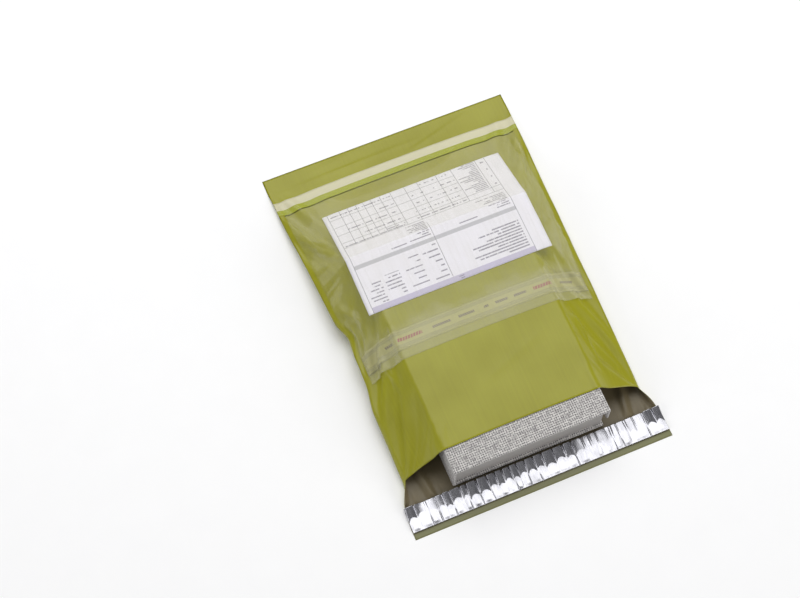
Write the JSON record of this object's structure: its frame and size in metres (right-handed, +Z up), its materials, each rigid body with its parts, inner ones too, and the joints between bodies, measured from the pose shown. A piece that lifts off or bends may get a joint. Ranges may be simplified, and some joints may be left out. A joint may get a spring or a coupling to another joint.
{
  "type": "poly mailer bag",
  "caption": "Green film mailer lying flat with a cloth-covered book in its open mouth, a clear front pocket with a folded packing list, and a silver strip on its closing lip.",
  "frame": {"origin": "middle of the bounding box, on the surface that the bag lies on", "axes": "+X across the bag, +Y along it towards the closed end, +Z up from the back panel to the front panel"},
  "size_m": [0.29, 0.44, 0.0487],
  "materials": {
    "green_film": "semi-gloss blown film, green outside and olive-brown inside",
    "clear_film": "clear, slightly hazy film",
    "paper": "uncoated white paper with grey print",
    "release_liner": "hazy translucent strip with small red marks",
    "adhesive": "soft clear adhesive",
    "silver_film": "silver metallised film, crinkled",
    "book_cloth": "coarse cream and grey woven linen over board",
    "book_block": "smooth grey board"
  },
  "bodies": {
    "root": {"bag_film": "green_film", "pocket_film": "clear_film", "packing_list": "paper", "pocket_liner": "release_liner", "pocket_adhesive": "adhesive", "closure_liner": "silver_film", "closure_adhesive": "adhesive", "book_case": "book_cloth", "book_block": "book_block"}
  },
  "joints": []
}
